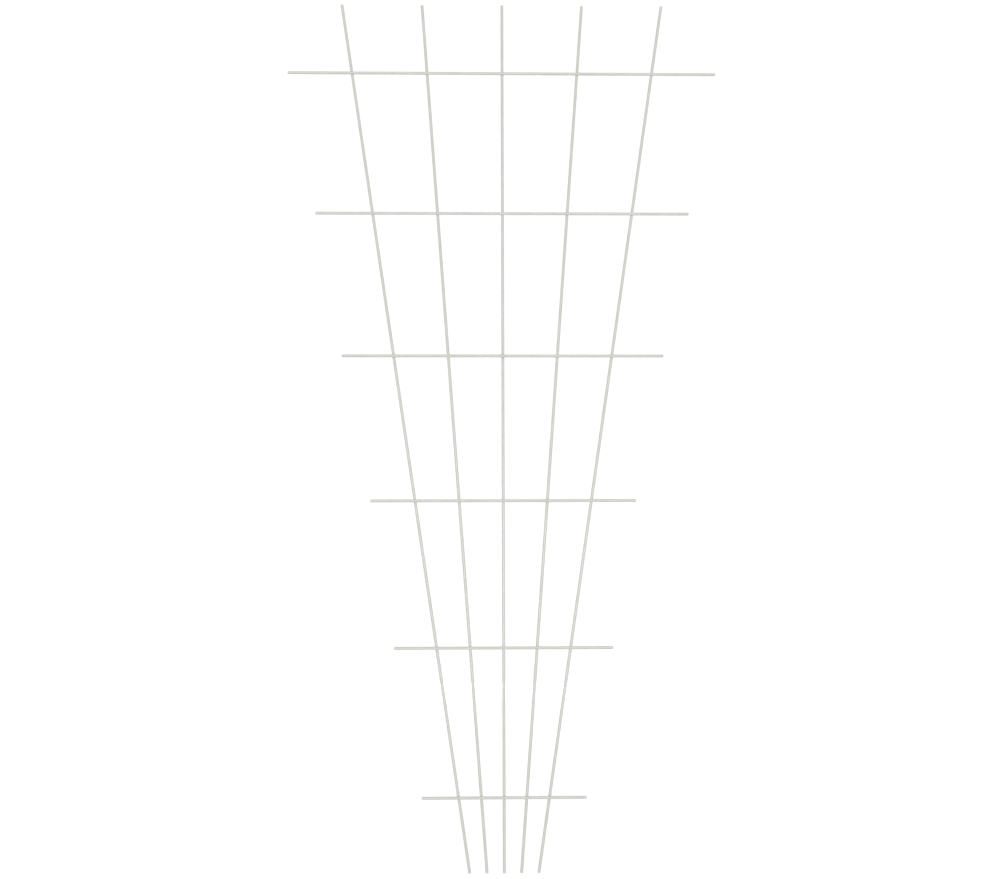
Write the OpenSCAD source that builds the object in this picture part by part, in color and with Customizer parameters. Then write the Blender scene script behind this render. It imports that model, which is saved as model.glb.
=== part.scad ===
// Espalier frame: a fan of five round uprights with six crossbars welded across the front of it.
// The feet go into soil, and plants are trained through the openings of the grid.
// +Z is up and +Y points to the back. The origin lies between the feet, in the plane of the welds.

/* [Fan] */
// Height of the frame, from the ends of the feet to the tips
frame_h = 1500; // [900:10:2100]
// Spacing of the uprights at the feet, axis to axis
foot_pitch = 29; // [20:1:60]
// Spacing of the uprights at the tips, axis to axis
tip_pitch = 141; // [70:1:200]

/* [Rods] */
// Diameter of an upright over its coat
upright_d = 5; // [4.4:0.2:8]
// Diameter of a crossbar over its coat
crossbar_d = 5; // [4.4:0.2:8]
// Chamfer where the coat runs over the edge of a cut end
end_chamfer = 0.6; // [0.2:0.1:1]

/* [Crossbars] */
// Height of the lowest crossbar's axis, which is the free length of the feet
foot_stub = 125; // [60:5:250]
// Drop from the tips to the highest crossbar's axis
tip_stub = 125; // [40:5:250]
// Free end of the lowest crossbar, past the axis of the outer upright
overhang_1 = 62; // [20:1:150]
// Free end of the second crossbar
overhang_2 = 72; // [20:1:150]
// Free end of the third crossbar
overhang_3 = 76; // [20:1:150]
// Free end of the fourth crossbar
overhang_4 = 89; // [20:1:150]
// Free end of the fifth crossbar
overhang_5 = 99; // [20:1:150]
// Free end of the highest crossbar
overhang_6 = 112; // [20:1:150]

/* [Welds] */
// Diameter of a weld bead
weld_d = 4; // [2:0.1:4.2]
// Thickness of the bead at its middle, where the two rods come closest
weld_root = 0.3; // [0.1:0.05:0.8]

/* [Hidden] */
$fn = 48;
coat_colour = "gainsboro";
weld_colour = "lightgray";

upright_names = ["left_outer", "left_inner", "centre", "right_inner", "right_outer"];
overhangs = [overhang_1, overhang_2, overhang_3, overhang_4, overhang_5, overhang_6];
uprights = [0 : len(upright_names) - 1];
crossbars = [0 : len(overhangs) - 1];

// The rods lie on either side of the weld plane, half a root away from it.
upright_y = (weld_root + upright_d) / 2;
crossbar_y = -(weld_root + crossbar_d) / 2;
crossbar_pitch = (frame_h - foot_stub - tip_stub) / (len(overhangs) - 1);

// How many places an upright stands to the right of the middle one
function place(u) = u - (len(upright_names) - 1) / 2;
function upright_x(u, z) = place(u) * (foot_pitch + (tip_pitch - foot_pitch) * z / frame_h);
function upright_lean(u) = atan(place(u) * (tip_pitch - foot_pitch) / frame_h);
// A leaning upright is cut square, so its axis stops short of the level that its lower edge reaches.
function end_rise(u) = (upright_d / 2 - end_chamfer) * abs(sin(upright_lean(u)));
function crossbar_z(b) = foot_stub + b * crossbar_pitch;
function crossbar_half(b) = upright_x(len(upright_names) - 1, crossbar_z(b)) + overhangs[b];

function upright_node(u) = str("upright_", upright_names[u]);
function crossbar_node(b) = str("crossbar_", b + 1);
function weld_node(b, u) = str("weld_bar", b + 1, "_", upright_names[u]);

// A round rod that stands on the origin, cut square, with its edges softened by the coat
module rod(d, length) {
    face_r = d / 2 - end_chamfer;
    rotate_extrude()
        polygon([
            [0, 0],
            [face_r, 0],
            [d / 2, end_chamfer],
            [d / 2, length - end_chamfer],
            [face_r, length],
            [0, length]
        ]);
}

module upright(u) {
    rise = end_rise(u);
    color(coat_colour)
        translate([upright_x(u, rise), upright_y, rise])
            rotate([0, upright_lean(u), 0])
                rod(upright_d, (frame_h - 2 * rise) / cos(upright_lean(u)));
}

module crossbar(b) {
    color(coat_colour)
        translate([-crossbar_half(b), crossbar_y, crossbar_z(b)])
            rotate([0, 90, 0])
                rod(crossbar_d, 2 * crossbar_half(b));
}

// The bead fills the space between the two rods where they cross, and seats on both.
module weld(b, u) {
    color(weld_colour)
        difference() {
            translate([upright_x(u, crossbar_z(b)), crossbar_y, crossbar_z(b)])
                rotate([-90, 0, 0])
                    cylinder(d = weld_d, h = upright_y - crossbar_y);
            crossbar(b);
            upright(u);
        }
}

for (u = uprights)
    upright(u);
for (b = crossbars)
    crossbar(b);
for (b = crossbars)
    for (u = uprights)
        weld(b, u);
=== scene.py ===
# Espalier frame: five rods that fan out from the feet, six welded across the front of them, one white coat.
import math
import random

import bmesh
import bpy
from mathutils import Matrix, Vector


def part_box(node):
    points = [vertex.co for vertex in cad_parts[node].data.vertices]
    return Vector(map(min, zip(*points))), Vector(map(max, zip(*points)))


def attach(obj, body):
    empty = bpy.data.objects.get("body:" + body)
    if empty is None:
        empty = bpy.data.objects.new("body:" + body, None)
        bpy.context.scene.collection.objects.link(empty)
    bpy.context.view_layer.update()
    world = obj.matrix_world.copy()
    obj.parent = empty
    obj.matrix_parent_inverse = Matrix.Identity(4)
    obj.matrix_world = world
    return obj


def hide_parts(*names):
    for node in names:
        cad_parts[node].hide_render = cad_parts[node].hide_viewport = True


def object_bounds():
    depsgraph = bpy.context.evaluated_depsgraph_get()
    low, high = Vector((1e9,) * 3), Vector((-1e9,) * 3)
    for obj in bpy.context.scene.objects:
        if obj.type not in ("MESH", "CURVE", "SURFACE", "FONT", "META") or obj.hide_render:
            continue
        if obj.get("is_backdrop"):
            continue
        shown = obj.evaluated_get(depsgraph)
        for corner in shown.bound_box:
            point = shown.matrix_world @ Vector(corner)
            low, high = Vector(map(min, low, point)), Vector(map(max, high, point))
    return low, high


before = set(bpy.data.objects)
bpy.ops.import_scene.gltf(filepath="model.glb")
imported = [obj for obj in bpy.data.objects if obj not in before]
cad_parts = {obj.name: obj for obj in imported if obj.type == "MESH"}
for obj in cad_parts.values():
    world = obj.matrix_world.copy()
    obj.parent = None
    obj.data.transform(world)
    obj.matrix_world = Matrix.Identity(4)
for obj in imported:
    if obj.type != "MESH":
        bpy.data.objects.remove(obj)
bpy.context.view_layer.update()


# Uprights. Five straight lengths of round steel wire, cut square on a shear and fanned out from the feet.
# The frame is powder-coated white after welding, so the coat runs over the cut ends: it draws thin round the
# rim of the cut and stands a little proud in the middle of it.
upright_names = ("left_outer", "left_inner", "centre", "right_inner", "right_outer")
foot_pitch = 0.029
tip_pitch = 0.141
rod_sides = 40
rod_ends = 2
rim_angle = math.radians(60)
rim_round = 0.0006
rim_steps = 5
rim_guard = 0.0004
rim_slack = 0.02
rim_thinness = 0.8
crown = 0.00012
crown_inset = 0.0006
crown_shares = (0.6, 0.4)
stop_pitch = 0.0625
map_gap = 0.03


def add_node(tree, kind, settings=None, **values):
    """One shader node with its settings and the values of its input sockets."""
    made = tree.nodes.new(kind)
    for name, value in (settings or {}).items():
        setattr(made, name, value)
    for name, value in values.items():
        made.inputs[name.replace("_", " ")].default_value = value
    return made


def make_coat_film():
    """The look of a sprayed and baked powder film: its peel, its gloss, and where it lies thin."""
    film = bpy.data.node_groups.new("coat_film", "ShaderNodeTree")
    for name, kind in (
        ("Position", "NodeSocketVector"),
        ("Peel Scale", "NodeSocketFloat"),
        ("Thin", "NodeSocketFloat"),
        ("Full Coat", "NodeSocketColor"),
        ("Thin Coat", "NodeSocketColor"),
    ):
        film.interface.new_socket(name, in_out="INPUT", socket_type=kind)
    for name, kind in (
        ("Colour", "NodeSocketColor"),
        ("Roughness", "NodeSocketFloat"),
        ("Peel", "NodeSocketFloat"),
    ):
        film.interface.new_socket(name, in_out="OUTPUT", socket_type=kind)
    given = film.nodes.new("NodeGroupInput")
    result = film.nodes.new("NodeGroupOutput")
    link = film.links.new
    # A Mix node's colours go by the number of their sockets, because its other sockets have the same names.
    mix_from, mix_to, mixed = 6, 7, 2
    speck_rarity = 0.86
    speck_height = 0.35
    grain_fineness = 3.6
    grain_height = 0.16

    # The film's thickness drifts slowly from place to place, and the colour with it.
    drift = add_node(film, "ShaderNodeTexNoise", Scale=30.0, Detail=4.0, Roughness=0.6)
    link(given.outputs["Position"], drift.inputs["Vector"])
    drifted = add_node(
        film, "ShaderNodeMapRange", From_Min=0.42, From_Max=0.68, To_Min=0.0, To_Max=0.3
    )
    link(drift.outputs["Fac"], drifted.inputs["Value"])

    # Where it lies thin, it does so in ragged patches.
    ragged = add_node(film, "ShaderNodeTexNoise", Scale=1500.0, Detail=2.0, Roughness=0.6)
    link(given.outputs["Position"], ragged.inputs["Vector"])
    torn = add_node(
        film, "ShaderNodeMapRange", From_Min=0.35, From_Max=0.62, To_Min=0.25, To_Max=1.3
    )
    link(ragged.outputs["Fac"], torn.inputs["Value"])
    bare = add_node(film, "ShaderNodeMath", {"operation": "MULTIPLY_ADD", "use_clamp": True})
    link(given.outputs["Thin"], bare.inputs[0])
    link(torn.outputs["Result"], bare.inputs[1])
    link(drifted.outputs["Result"], bare.inputs[2])
    tint = add_node(film, "ShaderNodeMix", {"data_type": "RGBA"})
    link(bare.outputs["Value"], tint.inputs["Factor"])
    link(given.outputs["Full Coat"], tint.inputs[mix_from])
    link(given.outputs["Thin Coat"], tint.inputs[mix_to])

    # A few dust specks are baked into it, each under a millimetre across.
    grit = add_node(film, "ShaderNodeTexVoronoi", Scale=230.0)
    link(given.outputs["Position"], grit.inputs["Vector"])
    lone = add_node(film, "ShaderNodeSeparateColor")
    link(grit.outputs["Color"], lone.inputs["Color"])
    few = add_node(film, "ShaderNodeMath", {"operation": "GREATER_THAN"})
    few.inputs[1].default_value = speck_rarity
    link(lone.outputs["Red"], few.inputs[0])
    dot = add_node(
        film, "ShaderNodeMapRange", From_Min=0.05, From_Max=0.11, To_Min=0.55, To_Max=0.0
    )
    link(grit.outputs["Distance"], dot.inputs["Value"])
    speck = add_node(film, "ShaderNodeMath", {"operation": "MULTIPLY"})
    link(few.outputs["Value"], speck.inputs[0])
    link(dot.outputs["Result"], speck.inputs[1])
    specked = add_node(film, "ShaderNodeMix", {"data_type": "RGBA"})
    link(speck.outputs["Value"], specked.inputs["Factor"])
    link(tint.outputs[mixed], specked.inputs[mix_from])
    link(given.outputs["Thin Coat"], specked.inputs[mix_to])
    link(specked.outputs[mixed], result.inputs["Colour"])

    # Satin, with duller patches a few millimetres across.
    dull = add_node(film, "ShaderNodeTexNoise", Scale=190.0, Detail=3.0, Roughness=0.55)
    link(given.outputs["Position"], dull.inputs["Vector"])
    satin = add_node(
        film, "ShaderNodeMapRange", From_Min=0.3, From_Max=0.7, To_Min=0.2, To_Max=0.38
    )
    link(dull.outputs["Fac"], satin.inputs["Value"])
    link(satin.outputs["Result"], result.inputs["Roughness"])

    # Orange peel: low round swellings about half as wide as the rod, with a finer grain on them.
    peel = add_node(film, "ShaderNodeTexNoise", Detail=0.0)
    link(given.outputs["Position"], peel.inputs["Vector"])
    link(given.outputs["Peel Scale"], peel.inputs["Scale"])
    finer = add_node(film, "ShaderNodeMath", {"operation": "MULTIPLY"})
    finer.inputs[1].default_value = grain_fineness
    link(given.outputs["Peel Scale"], finer.inputs[0])
    grain = add_node(film, "ShaderNodeTexNoise", Detail=1.0, Roughness=0.5)
    link(given.outputs["Position"], grain.inputs["Vector"])
    link(finer.outputs["Value"], grain.inputs["Scale"])
    relief = add_node(film, "ShaderNodeMath", {"operation": "MULTIPLY_ADD"})
    relief.inputs[1].default_value = grain_height
    link(grain.outputs["Fac"], relief.inputs[0])
    link(peel.outputs["Fac"], relief.inputs[2])
    raised = add_node(film, "ShaderNodeMath", {"operation": "MULTIPLY_ADD"})
    raised.inputs[1].default_value = speck_height
    link(speck.outputs["Value"], raised.inputs[0])
    link(relief.outputs["Value"], raised.inputs[2])
    link(raised.outputs["Value"], result.inputs["Peel"])
    return film


def coat_material(name, film, peel_scale, peel_depth, full_coat, thin_coat):
    """A material of that film, which lies thin where the piece's thin_coat attribute says so."""
    coat = bpy.data.materials.new(name)
    coat.use_nodes = True
    tree = coat.node_tree
    shader = tree.nodes["Principled BSDF"]
    shader.inputs["IOR"].default_value = 1.5
    place = tree.nodes.new("ShaderNodeTexCoord")
    thin = add_node(tree, "ShaderNodeAttribute", {"attribute_name": "thin_coat"})
    cover = add_node(
        tree,
        "ShaderNodeGroup",
        {"node_tree": film},
        Peel_Scale=peel_scale,
        Full_Coat=full_coat,
        Thin_Coat=thin_coat,
    )
    bump = add_node(tree, "ShaderNodeBump", Strength=1.0, Distance=peel_depth)
    tree.links.new(place.outputs["Object"], cover.inputs["Position"])
    tree.links.new(thin.outputs["Fac"], cover.inputs["Thin"])
    tree.links.new(cover.outputs["Colour"], shader.inputs["Base Color"])
    tree.links.new(cover.outputs["Roughness"], shader.inputs["Roughness"])
    tree.links.new(cover.outputs["Peel"], bump.inputs["Height"])
    tree.links.new(bump.outputs["Normal"], shader.inputs["Normal"])
    return coat


coat_film = make_coat_film()
coat_white = (0.714, 0.714, 0.668, 1.0)
rod_coat = coat_material(
    "white_rod_coat",
    coat_film,
    peel_scale=420.0,
    peel_depth=0.00017,
    full_coat=coat_white,
    thin_coat=(0.57, 0.57, 0.533, 1.0),
)


def unroll_coat(rod, length, thickness, stretches):
    """A map to bake the coat through: the wall as strips side by side, and both ends in the last column."""
    sheet = rod.loops.layers.uv.new("OFBake")
    # As many rows as give each strip's place on the map about the strip's own proportions.
    rows = max(1, round(math.sqrt(stretches * math.pi * thickness / stop_pitch)))
    columns = math.ceil(stretches / rows) + 1
    end_depth = crown + rim_round + rim_guard
    for f in rod.faces:
        middle = f.calc_center_median()
        on_wall = end_depth < middle.z < length - end_depth
        strip = int(stretches * middle.z / length)
        facing = math.atan2(middle.y, middle.x) / (2 * math.pi) % 1
        for corner in f.loops:
            point = corner.vert.co
            way = math.atan2(point.y, point.x)
            if on_wall:
                turn = way / (2 * math.pi)
                turn += round(facing - turn)
                along = stretches * point.z / length - strip
                column, row = strip % (columns - 1), strip // (columns - 1)
            else:
                # An end is spread flat like a cap that is cut open round its rim.
                reach = point.xy.length + min(point.z, length - point.z)
                reach /= thickness + 2 * end_depth
                turn = 0.5 + reach * math.cos(way)
                along = 0.5 + reach * math.sin(way)
                column = columns - 1
                row = 0 if middle.z < length / 2 else 1
            across = column + map_gap + (1 - 2 * map_gap) * turn
            up = row + map_gap + (1 - 2 * map_gap) * along
            corner[sheet].uv = (across / columns, up / (rows if on_wall else rod_ends))


def finished_object(name, shape, finish):
    """An object of the scene from a worked shape, with its finish on it."""
    mesh = bpy.data.meshes.new(name)
    shape.to_mesh(mesh)
    shape.free()
    mesh.materials.append(finish)
    made = bpy.data.objects.new(name, mesh)
    bpy.context.scene.collection.objects.link(made)
    return made


def rod_piece(name, start, end, thickness):
    """A coated rod from start to end, cut square, with rings of edges along it."""
    length = (end - start).length
    rod = bmesh.new()
    thin = rod.verts.layers.float.new("thin_coat")
    bmesh.ops.create_circle(rod, cap_ends=True, segments=rod_sides, radius=thickness / 2)
    drawn = bmesh.ops.extrude_face_region(rod, geom=rod.faces[:])
    tip = [v for v in drawn["geom"] if isinstance(v, bmesh.types.BMVert)]
    bmesh.ops.translate(rod, vec=(0, 0, length - 2 * crown), verts=tip)
    bmesh.ops.translate(rod, vec=(0, 0, crown), verts=rod.verts)
    bmesh.ops.recalc_face_normals(rod, faces=rod.faces)
    rims = [e for e in rod.edges if e.calc_face_angle(0) > rim_angle]
    bmesh.ops.bevel(
        rod, geom=rims, offset=rim_round, offset_type="OFFSET", segments=rim_steps,
        profile=0.5, affect="EDGES", material=-1,
    )
    for cut_face in [f for f in rod.faces if len(f.verts) == rod_sides]:
        for share in crown_shares:
            bmesh.ops.inset_region(
                rod, faces=[cut_face], thickness=crown_inset, depth=share * crown,
                use_boundary=True, use_even_offset=True,
            )
    rim_end = crown + rim_round
    stops = [rim_end + rim_guard, length - rim_end - rim_guard]
    count = round(length / stop_pitch)
    stops += [length * k / count for k in range(1, count)]
    for stop in stops:
        bmesh.ops.bisect_plane(
            rod, geom=rod.verts[:] + rod.edges[:] + rod.faces[:],
            plane_co=(0, 0, stop), plane_no=(0, 0, 1),
        )
    # The film pulls back from the rounded rim, and only there.
    rim_start = thickness / 2 - rim_round
    for v in rod.verts:
        depth = min(v.co.z, length - v.co.z)
        on_rim = depth < rim_end * (1 - rim_slack) and v.co.xy.length > rim_start * (1 + rim_slack)
        v[thin] = rim_thinness if on_rim else 0.0
    for f in rod.faces:
        f.smooth = True
    unroll_coat(rod, length, thickness, count)
    turn = (end - start).to_track_quat("Z", "Y").to_matrix().to_4x4()
    bmesh.ops.transform(rod, matrix=Matrix.Translation(start) @ turn, verts=rod.verts)
    return finished_object(name, rod, rod_coat)


middle_low, middle_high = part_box("upright_centre")
upright_thickness = middle_high.x - middle_low.x
upright_depth = (middle_low.y + middle_high.y) / 2
frame_height = middle_high.z
upright_slopes = {}
for number, side in enumerate(upright_names):
    place = number - (len(upright_names) - 1) / 2
    foot_x = place * foot_pitch
    slope = place * (tip_pitch - foot_pitch) / frame_height
    upright_slopes[side] = (foot_x, slope)
    # A leaning rod is cut square, so its axis ends above the lowest point of its cut.
    rise = (upright_thickness / 2 - rim_round) * abs(math.sin(math.atan(slope)))
    foot = Vector((foot_x + slope * rise, upright_depth, rise))
    tip = Vector((foot_x + slope * (frame_height - rise), upright_depth, frame_height - rise))
    upright = rod_piece(f"coated_upright_{side}", foot, tip, upright_thickness)
    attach(upright, "root")
    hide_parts(f"upright_{side}")


# Crossbars. Six lengths of the same wire, cut square, each longer than the one below it.
# They lie level across the front of the uprights and run past the outer ones, and the same white coat
# covers them to the ends.
crossbar_count = 6
crossbars = {}
for number in range(1, crossbar_count + 1):
    low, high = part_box(f"crossbar_{number}")
    axis = (low + high) / 2
    crossbar_thickness = high.z - low.z
    crossbar_depth = axis.y
    left = Vector((low.x, axis.y, axis.z))
    right = Vector((high.x, axis.y, axis.z))
    crossbars[number] = axis
    crossbar = rod_piece(f"coated_crossbar_{number}", left, right, crossbar_thickness)
    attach(crossbar, "root")
    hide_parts(f"crossbar_{number}")


# Welds. Each crossing is a resistance weld: the two rods are pressed together hot, and a little steel
# squeezes out round the joint. The coat bridges the corner in a hollow fillet that runs out onto both rods.
# It lies thin in the deepest part, where sprayed powder hardly reaches.
weld_sides = 48
weld_levels = 10
weld_reach = 0.0034
weld_half_width = 0.0022
weld_hollow = 0.3
weld_unevenness = 0.00009
weld_seat = 0.00003
weld_flare = 0.6
weld_height = 0.002
weld_cap_inset = 0.0007
weld_cap_rings = 2
weld_cap_thinness = 0.01
weld_thinness = 0.9
weld_ripples = (2, 3, 5)
weld_seat_limit = 1.05
weld_seed = 11
weld_coat = coat_material(
    "white_weld_coat",
    coat_film,
    peel_scale=600.0,
    peel_depth=0.00014,
    full_coat=coat_white,
    thin_coat=(0.67, 0.67, 0.627, 1.0),
)


def foot_radius(way):
    """How far a fillet's foot reaches on a rod, in a direction that is counted from the rod's own."""
    return 1 / math.hypot(math.cos(way) / weld_reach, math.sin(way) / weld_half_width)


def rod_surface(thickness, across):
    """How high a rod's surface stands over its axis, at a distance across from it."""
    radius = thickness / 2
    return math.sqrt(radius**2 - min(abs(across), weld_half_width * weld_seat_limit) ** 2)


def weld_piece(name, crossing, lean, chance):
    """A hollow fillet between an upright behind and a crossbar in front, seated on both."""
    weld = bmesh.new()
    bmesh.ops.create_cone(
        weld, cap_ends=True, segments=weld_sides, radius1=weld_half_width, radius2=weld_half_width,
        depth=weld_height, matrix=Matrix.Translation((0, 0, weld_height / 2)),
    )
    # The levels are closest at the two rods, where the fillet bends most.
    for level in range(1, weld_levels):
        share = (1 - math.cos(math.pi * level / weld_levels)) / 2
        bmesh.ops.bisect_plane(
            weld, geom=weld.verts[:] + weld.edges[:] + weld.faces[:],
            plane_co=(0, 0, weld_height * share), plane_no=(0, 0, 1),
        )
    for seat in [f for f in weld.faces if len(f.verts) == weld_sides]:
        for _ in range(weld_cap_rings):
            bmesh.ops.inset_region(
                weld, faces=[seat], thickness=weld_cap_inset, depth=0,
                use_boundary=True, use_even_offset=True,
            )
    # It reaches furthest along each rod's own length, is drawn in between them, and seats on both.
    thin = weld.verts.layers.float.new("thin_coat")
    waves = [(turns, chance.uniform(0, 2 * math.pi)) for turns in weld_ripples]
    for v in weld.verts:
        share = v.co.z / weld_height
        hollow = max(0.0, math.sin(math.pi * share))
        way = math.atan2(v.co.y, v.co.x)
        swell = sum(math.cos(turns * way + start) / turns for turns, start in waves)
        along_upright = foot_radius(way + math.pi / 2 + lean)
        along_crossbar = foot_radius(way)
        radius = along_upright + (along_crossbar - along_upright) * share
        radius = radius * (1 - weld_hollow * hollow**weld_flare) + weld_unevenness * swell
        x, y = v.co.xy * (radius / weld_half_width)
        across = x * math.cos(lean) - y * math.sin(lean)
        behind = rod_surface(upright_thickness, across) - upright_depth
        before = -crossbar_depth - rod_surface(crossbar_thickness, y)
        v.co = (x, y, behind - weld_seat + (before - behind + 2 * weld_seat) * share)
        v[thin] = weld_thinness * hollow
    bmesh.ops.recalc_face_normals(weld, faces=weld.faces)
    for f in weld.faces:
        f.smooth = any(v[thin] > weld_cap_thinness for v in f.verts)
    turn = Matrix.Rotation(math.pi / 2, 4, "X")
    bmesh.ops.transform(weld, matrix=Matrix.Translation(crossing) @ turn, verts=weld.verts)
    return finished_object(name, weld, weld_coat)


chance = random.Random(weld_seed)
for number, axis in crossbars.items():
    for side, (foot_x, slope) in upright_slopes.items():
        crossing = Vector((foot_x + slope * axis.z, 0, axis.z))
        weld = weld_piece(
            f"coated_weld_bar{number}_{side}", crossing, math.atan(slope), chance
        )
        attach(weld, "root")
        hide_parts(f"weld_bar{number}_{side}")


# Floor. A wide sheet of matt white studio paper, lying flat under the feet.
# It shows white to the camera and in reflections, and the frame's soft shadow stays on it.
floor_radius = 4.0
floor_sides = 64
floor_bounce = 0.82
floor_lift = 0.56


def seen_directly(tree):
    """A socket that is 1 for the camera and for reflections and see-through paths, and 0 for lighting."""
    rays = tree.nodes.new("ShaderNodeLightPath")
    either = add_node(tree, "ShaderNodeMath", {"operation": "MAXIMUM"})
    tree.links.new(rays.outputs["Is Camera Ray"], either.inputs[0])
    tree.links.new(rays.outputs["Is Glossy Ray"], either.inputs[1])
    any_of = add_node(tree, "ShaderNodeMath", {"operation": "MAXIMUM"})
    tree.links.new(either.outputs["Value"], any_of.inputs[0])
    tree.links.new(rays.outputs["Is Transmission Ray"], any_of.inputs[1])
    return any_of.outputs["Value"]


paper = bpy.data.materials.new("studio_paper")
paper.use_nodes = True
paper_tree = paper.node_tree
paper_tree.nodes.remove(paper_tree.nodes["Principled BSDF"])
matt = add_node(
    paper_tree, "ShaderNodeBsdfDiffuse", Color=(floor_bounce, floor_bounce, floor_bounce, 1.0)
)
glow = add_node(paper_tree, "ShaderNodeEmission", Color=(1.0, 1.0, 1.0, 1.0))
lift = add_node(paper_tree, "ShaderNodeMath", {"operation": "MULTIPLY"})
lift.inputs[1].default_value = floor_lift
both = paper_tree.nodes.new("ShaderNodeAddShader")
paper_tree.links.new(seen_directly(paper_tree), lift.inputs[0])
paper_tree.links.new(lift.outputs["Value"], glow.inputs["Strength"])
paper_tree.links.new(matt.outputs["BSDF"], both.inputs[0])
paper_tree.links.new(glow.outputs["Emission"], both.inputs[1])
paper_tree.links.new(
    both.outputs["Shader"], paper_tree.nodes["Material Output"].inputs["Surface"]
)

sheet = bmesh.new()
bmesh.ops.create_circle(sheet, cap_ends=True, segments=floor_sides, radius=floor_radius)
floor = finished_object("studio_floor", sheet, paper)
floor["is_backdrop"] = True


# Light. A white studio: an even glow from all round, and two low soft boxes that stand on the ground, one
# in front of the frame and one behind it. They light it level, so that a crossbar hardly shades the uprights
# under it. Only the front one shows in reflections, and it draws a soft glint along each rod.
room_glow = 0.5
backdrop_white = 1.03
box_width = 4.0
box_height = 1.0
box_distance = 6.0
box_power = 165
soft_boxes = {
    "soft_box_front": {"bearing": 0, "glints": True},
    "soft_box_back": {"bearing": 180, "glints": False},
}

world = bpy.data.worlds.new("white_studio")
world.use_nodes = True
room = world.node_tree
backdrop = room.nodes["Background"]
backdrop.inputs["Color"].default_value = (1.0, 1.0, 1.0, 1.0)
level = add_node(room, "ShaderNodeMapRange", To_Min=room_glow, To_Max=backdrop_white)
room.links.new(seen_directly(room), level.inputs["Value"])
room.links.new(level.outputs["Result"], backdrop.inputs["Strength"])
bpy.context.scene.world = world

for name, light in soft_boxes.items():
    lamp = bpy.data.lights.new(name, "AREA")
    lamp.shape = "RECTANGLE"
    lamp.size = box_width
    lamp.size_y = box_height
    lamp.energy = box_power
    soft_box = bpy.data.objects.new(name, lamp)
    bearing = math.radians(light["bearing"])
    soft_box.location = (
        box_distance * math.sin(bearing), -box_distance * math.cos(bearing), box_height / 2
    )
    soft_box.rotation_euler = (math.pi / 2, 0, bearing)
    soft_box.visible_camera = False
    soft_box.visible_glossy = light["glints"]
    bpy.context.scene.collection.objects.link(soft_box)


# Camera. It stands low in front of the frame, a little to the left, and looks slightly up, so that the whole
# frame fills the height of the picture.
eye = Vector((-0.06238, -2.5, 0.51497))
yaw, tilt, roll = (math.radians(a) for a in (1.3057, 4.9236, -0.1555))
lens = bpy.data.cameras.new("photo_camera")
lens.sensor_fit = "HORIZONTAL"
lens.sensor_width = 36.0
lens.lens = 52.533
camera = bpy.data.objects.new("photo_camera", lens)
camera.matrix_world = (
    Matrix.Translation(eye)
    @ Matrix.Rotation(-yaw, 4, "Z")
    @ Matrix.Rotation(math.pi / 2 + tilt, 4, "X")
    @ Matrix.Rotation(roll, 4, "Z")
)
bpy.context.scene.collection.objects.link(camera)
bpy.context.scene.camera = camera
bpy.context.scene.view_settings.view_transform = "Standard"

# Size. The box round the dressed part, in metres.
low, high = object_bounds()
